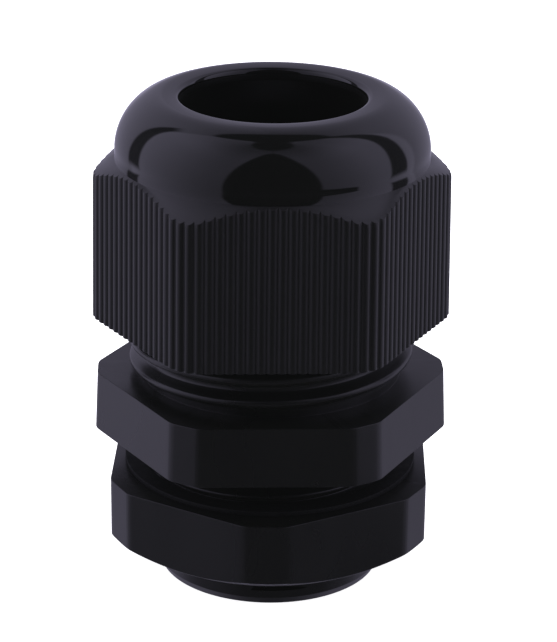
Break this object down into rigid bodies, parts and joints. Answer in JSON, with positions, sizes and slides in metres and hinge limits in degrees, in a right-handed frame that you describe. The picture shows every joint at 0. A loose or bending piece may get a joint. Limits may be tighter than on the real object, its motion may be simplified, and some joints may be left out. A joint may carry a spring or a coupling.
{
  "type": "cable gland",
  "caption": "Nylon strain-relief cable gland: ribbed hexagonal dome nut over a threaded hexagonal body, with a flat gasket and a hexagonal locknut on the panel thread.",
  "frame": {"origin": "on the gland's axis in the plane of the flange's underside, where it seats on a panel", "axes": "+Z along the axis towards the cable entry; -Y faces out of one flat of the flange"},
  "size_m": [0.0372, 0.0358, 0.0517],
  "materials": {
    "body_nylon": "satin moulded nylon",
    "nut_nylon": "polished moulded nylon on the dome",
    "seal_rubber": "matt rubber",
    "gasket_rubber": "matt rubber"
  },
  "bodies": {
    "root": {"gland_body": "body_nylon", "claw_ring": "body_nylon"},
    "seal": {"seal_insert": "seal_rubber"},
    "dome_nut": {"dome_nut": "nut_nylon"},
    "gasket": {"gasket": "gasket_rubber"},
    "locknut": {"locknut": "body_nylon"},
    "claw_finger_01": {"claw_finger_01": "body_nylon"},
    "claw_finger_02": {"claw_finger_02": "body_nylon"},
    "claw_finger_03": {"claw_finger_03": "body_nylon"},
    "claw_finger_04": {"claw_finger_04": "body_nylon"},
    "claw_finger_05": {"claw_finger_05": "body_nylon"},
    "claw_finger_06": {"claw_finger_06": "body_nylon"},
    "claw_finger_07": {"claw_finger_07": "body_nylon"},
    "claw_finger_08": {"claw_finger_08": "body_nylon"},
    "claw_finger_09": {"claw_finger_09": "body_nylon"},
    "claw_finger_10": {"claw_finger_10": "body_nylon"},
    "claw_finger_11": {"claw_finger_11": "body_nylon"},
    "claw_finger_12": {"claw_finger_12": "body_nylon"},
    "claw_finger_13": {"claw_finger_13": "body_nylon"},
    "claw_finger_14": {"claw_finger_14": "body_nylon"}
  },
  "joints": [
    {"name": "seal_travel", "type": "slide", "parent": "root", "child": "seal", "axis": [0, 0, 1], "range_m": [-0.0048, 0.0012], "deforming": ["seal_insert"]},
    {"name": "dome_nut_turn", "type": "hinge", "parent": "seal", "child": "dome_nut", "pos_m": [0, 0, 0.0242], "axis": [0, 0, 1], "range_deg": [-720, 180]},
    {"name": "gasket_travel", "type": "slide", "parent": "root", "child": "gasket", "axis": [0, 0, 1], "range_m": [-0.0034, 0.0033]},
    {"name": "locknut_turn", "type": "hinge", "parent": "gasket", "child": "locknut", "pos_m": [0, 0, -0.008], "axis": [0, 0, 1], "range_deg": [-675, 655]},
    {"name": "claw_finger_01_bend", "type": "hinge", "parent": "root", "child": "claw_finger_01", "pos_m": [0.011, 0, 0.02215], "axis": [0, 1, 0], "range_deg": [-17.5, 4.4]},
    {"name": "claw_finger_02_bend", "type": "hinge", "parent": "root", "child": "claw_finger_02", "pos_m": [0.00991, 0.00477, 0.02215], "axis": [-0.4339, 0.901, 0], "range_deg": [-17.5, 4.4]},
    {"name": "claw_finger_03_bend", "type": "hinge", "parent": "root", "child": "claw_finger_03", "pos_m": [0.00686, 0.0086, 0.02215], "axis": [-0.7818, 0.6235, 0], "range_deg": [-17.5, 4.4]},
    {"name": "claw_finger_04_bend", "type": "hinge", "parent": "root", "child": "claw_finger_04", "pos_m": [0.00245, 0.01072, 0.02215], "axis": [-0.9749, 0.2225, 0], "range_deg": [-17.5, 4.4]},
    {"name": "claw_finger_05_bend", "type": "hinge", "parent": "root", "child": "claw_finger_05", "pos_m": [-0.00245, 0.01072, 0.02215], "axis": [-0.9749, -0.2225, 0], "range_deg": [-17.5, 4.4]},
    {"name": "claw_finger_06_bend", "type": "hinge", "parent": "root", "child": "claw_finger_06", "pos_m": [-0.00686, 0.0086, 0.02215], "axis": [-0.7818, -0.6235, 0], "range_deg": [-17.5, 4.4]},
    {"name": "claw_finger_07_bend", "type": "hinge", "parent": "root", "child": "claw_finger_07", "pos_m": [-0.00991, 0.00477, 0.02215], "axis": [-0.4339, -0.901, 0], "range_deg": [-17.5, 4.4]},
    {"name": "claw_finger_08_bend", "type": "hinge", "parent": "root", "child": "claw_finger_08", "pos_m": [-0.011, 0, 0.02215], "axis": [0, -1, 0], "range_deg": [-17.5, 4.4]},
    {"name": "claw_finger_09_bend", "type": "hinge", "parent": "root", "child": "claw_finger_09", "pos_m": [-0.00991, -0.00477, 0.02215], "axis": [0.4339, -0.901, 0], "range_deg": [-17.5, 4.4]},
    {"name": "claw_finger_10_bend", "type": "hinge", "parent": "root", "child": "claw_finger_10", "pos_m": [-0.00686, -0.0086, 0.02215], "axis": [0.7818, -0.6235, 0], "range_deg": [-17.5, 4.4]},
    {"name": "claw_finger_11_bend", "type": "hinge", "parent": "root", "child": "claw_finger_11", "pos_m": [-0.00245, -0.01072, 0.02215], "axis": [0.9749, -0.2225, 0], "range_deg": [-17.5, 4.4]},
    {"name": "claw_finger_12_bend", "type": "hinge", "parent": "root", "child": "claw_finger_12", "pos_m": [0.00245, -0.01072, 0.02215], "axis": [0.9749, 0.2225, 0], "range_deg": [-17.5, 4.4]},
    {"name": "claw_finger_13_bend", "type": "hinge", "parent": "root", "child": "claw_finger_13", "pos_m": [0.00686, -0.0086, 0.02215], "axis": [0.7818, 0.6235, 0], "range_deg": [-17.5, 4.4]},
    {"name": "claw_finger_14_bend", "type": "hinge", "parent": "root", "child": "claw_finger_14", "pos_m": [0.00991, -0.00477, 0.02215], "axis": [0.4339, 0.901, 0], "range_deg": [-17.5, 4.4]}
  ],
  "couplings": [
    {"joint": "dome_nut_turn", "follows": "seal_travel", "rad_per_m": 2618},
    {"joint": "locknut_turn", "follows": "gasket_travel", "rad_per_m": 3463.7},
    {"joint": "claw_finger_01_bend", "follows": "seal_travel", "rad_per_m": 63.632},
    {"joint": "claw_finger_02_bend", "follows": "seal_travel", "rad_per_m": 63.632},
    {"joint": "claw_finger_03_bend", "follows": "seal_travel", "rad_per_m": 63.632},
    {"joint": "claw_finger_04_bend", "follows": "seal_travel", "rad_per_m": 63.632},
    {"joint": "claw_finger_05_bend", "follows": "seal_travel", "rad_per_m": 63.632},
    {"joint": "claw_finger_06_bend", "follows": "seal_travel", "rad_per_m": 63.632},
    {"joint": "claw_finger_07_bend", "follows": "seal_travel", "rad_per_m": 63.632},
    {"joint": "claw_finger_08_bend", "follows": "seal_travel", "rad_per_m": 63.632},
    {"joint": "claw_finger_09_bend", "follows": "seal_travel", "rad_per_m": 63.632},
    {"joint": "claw_finger_10_bend", "follows": "seal_travel", "rad_per_m": 63.632},
    {"joint": "claw_finger_11_bend", "follows": "seal_travel", "rad_per_m": 63.632},
    {"joint": "claw_finger_12_bend", "follows": "seal_travel", "rad_per_m": 63.632},
    {"joint": "claw_finger_13_bend", "follows": "seal_travel", "rad_per_m": 63.632},
    {"joint": "claw_finger_14_bend", "follows": "seal_travel", "rad_per_m": 63.632}
  ]
}
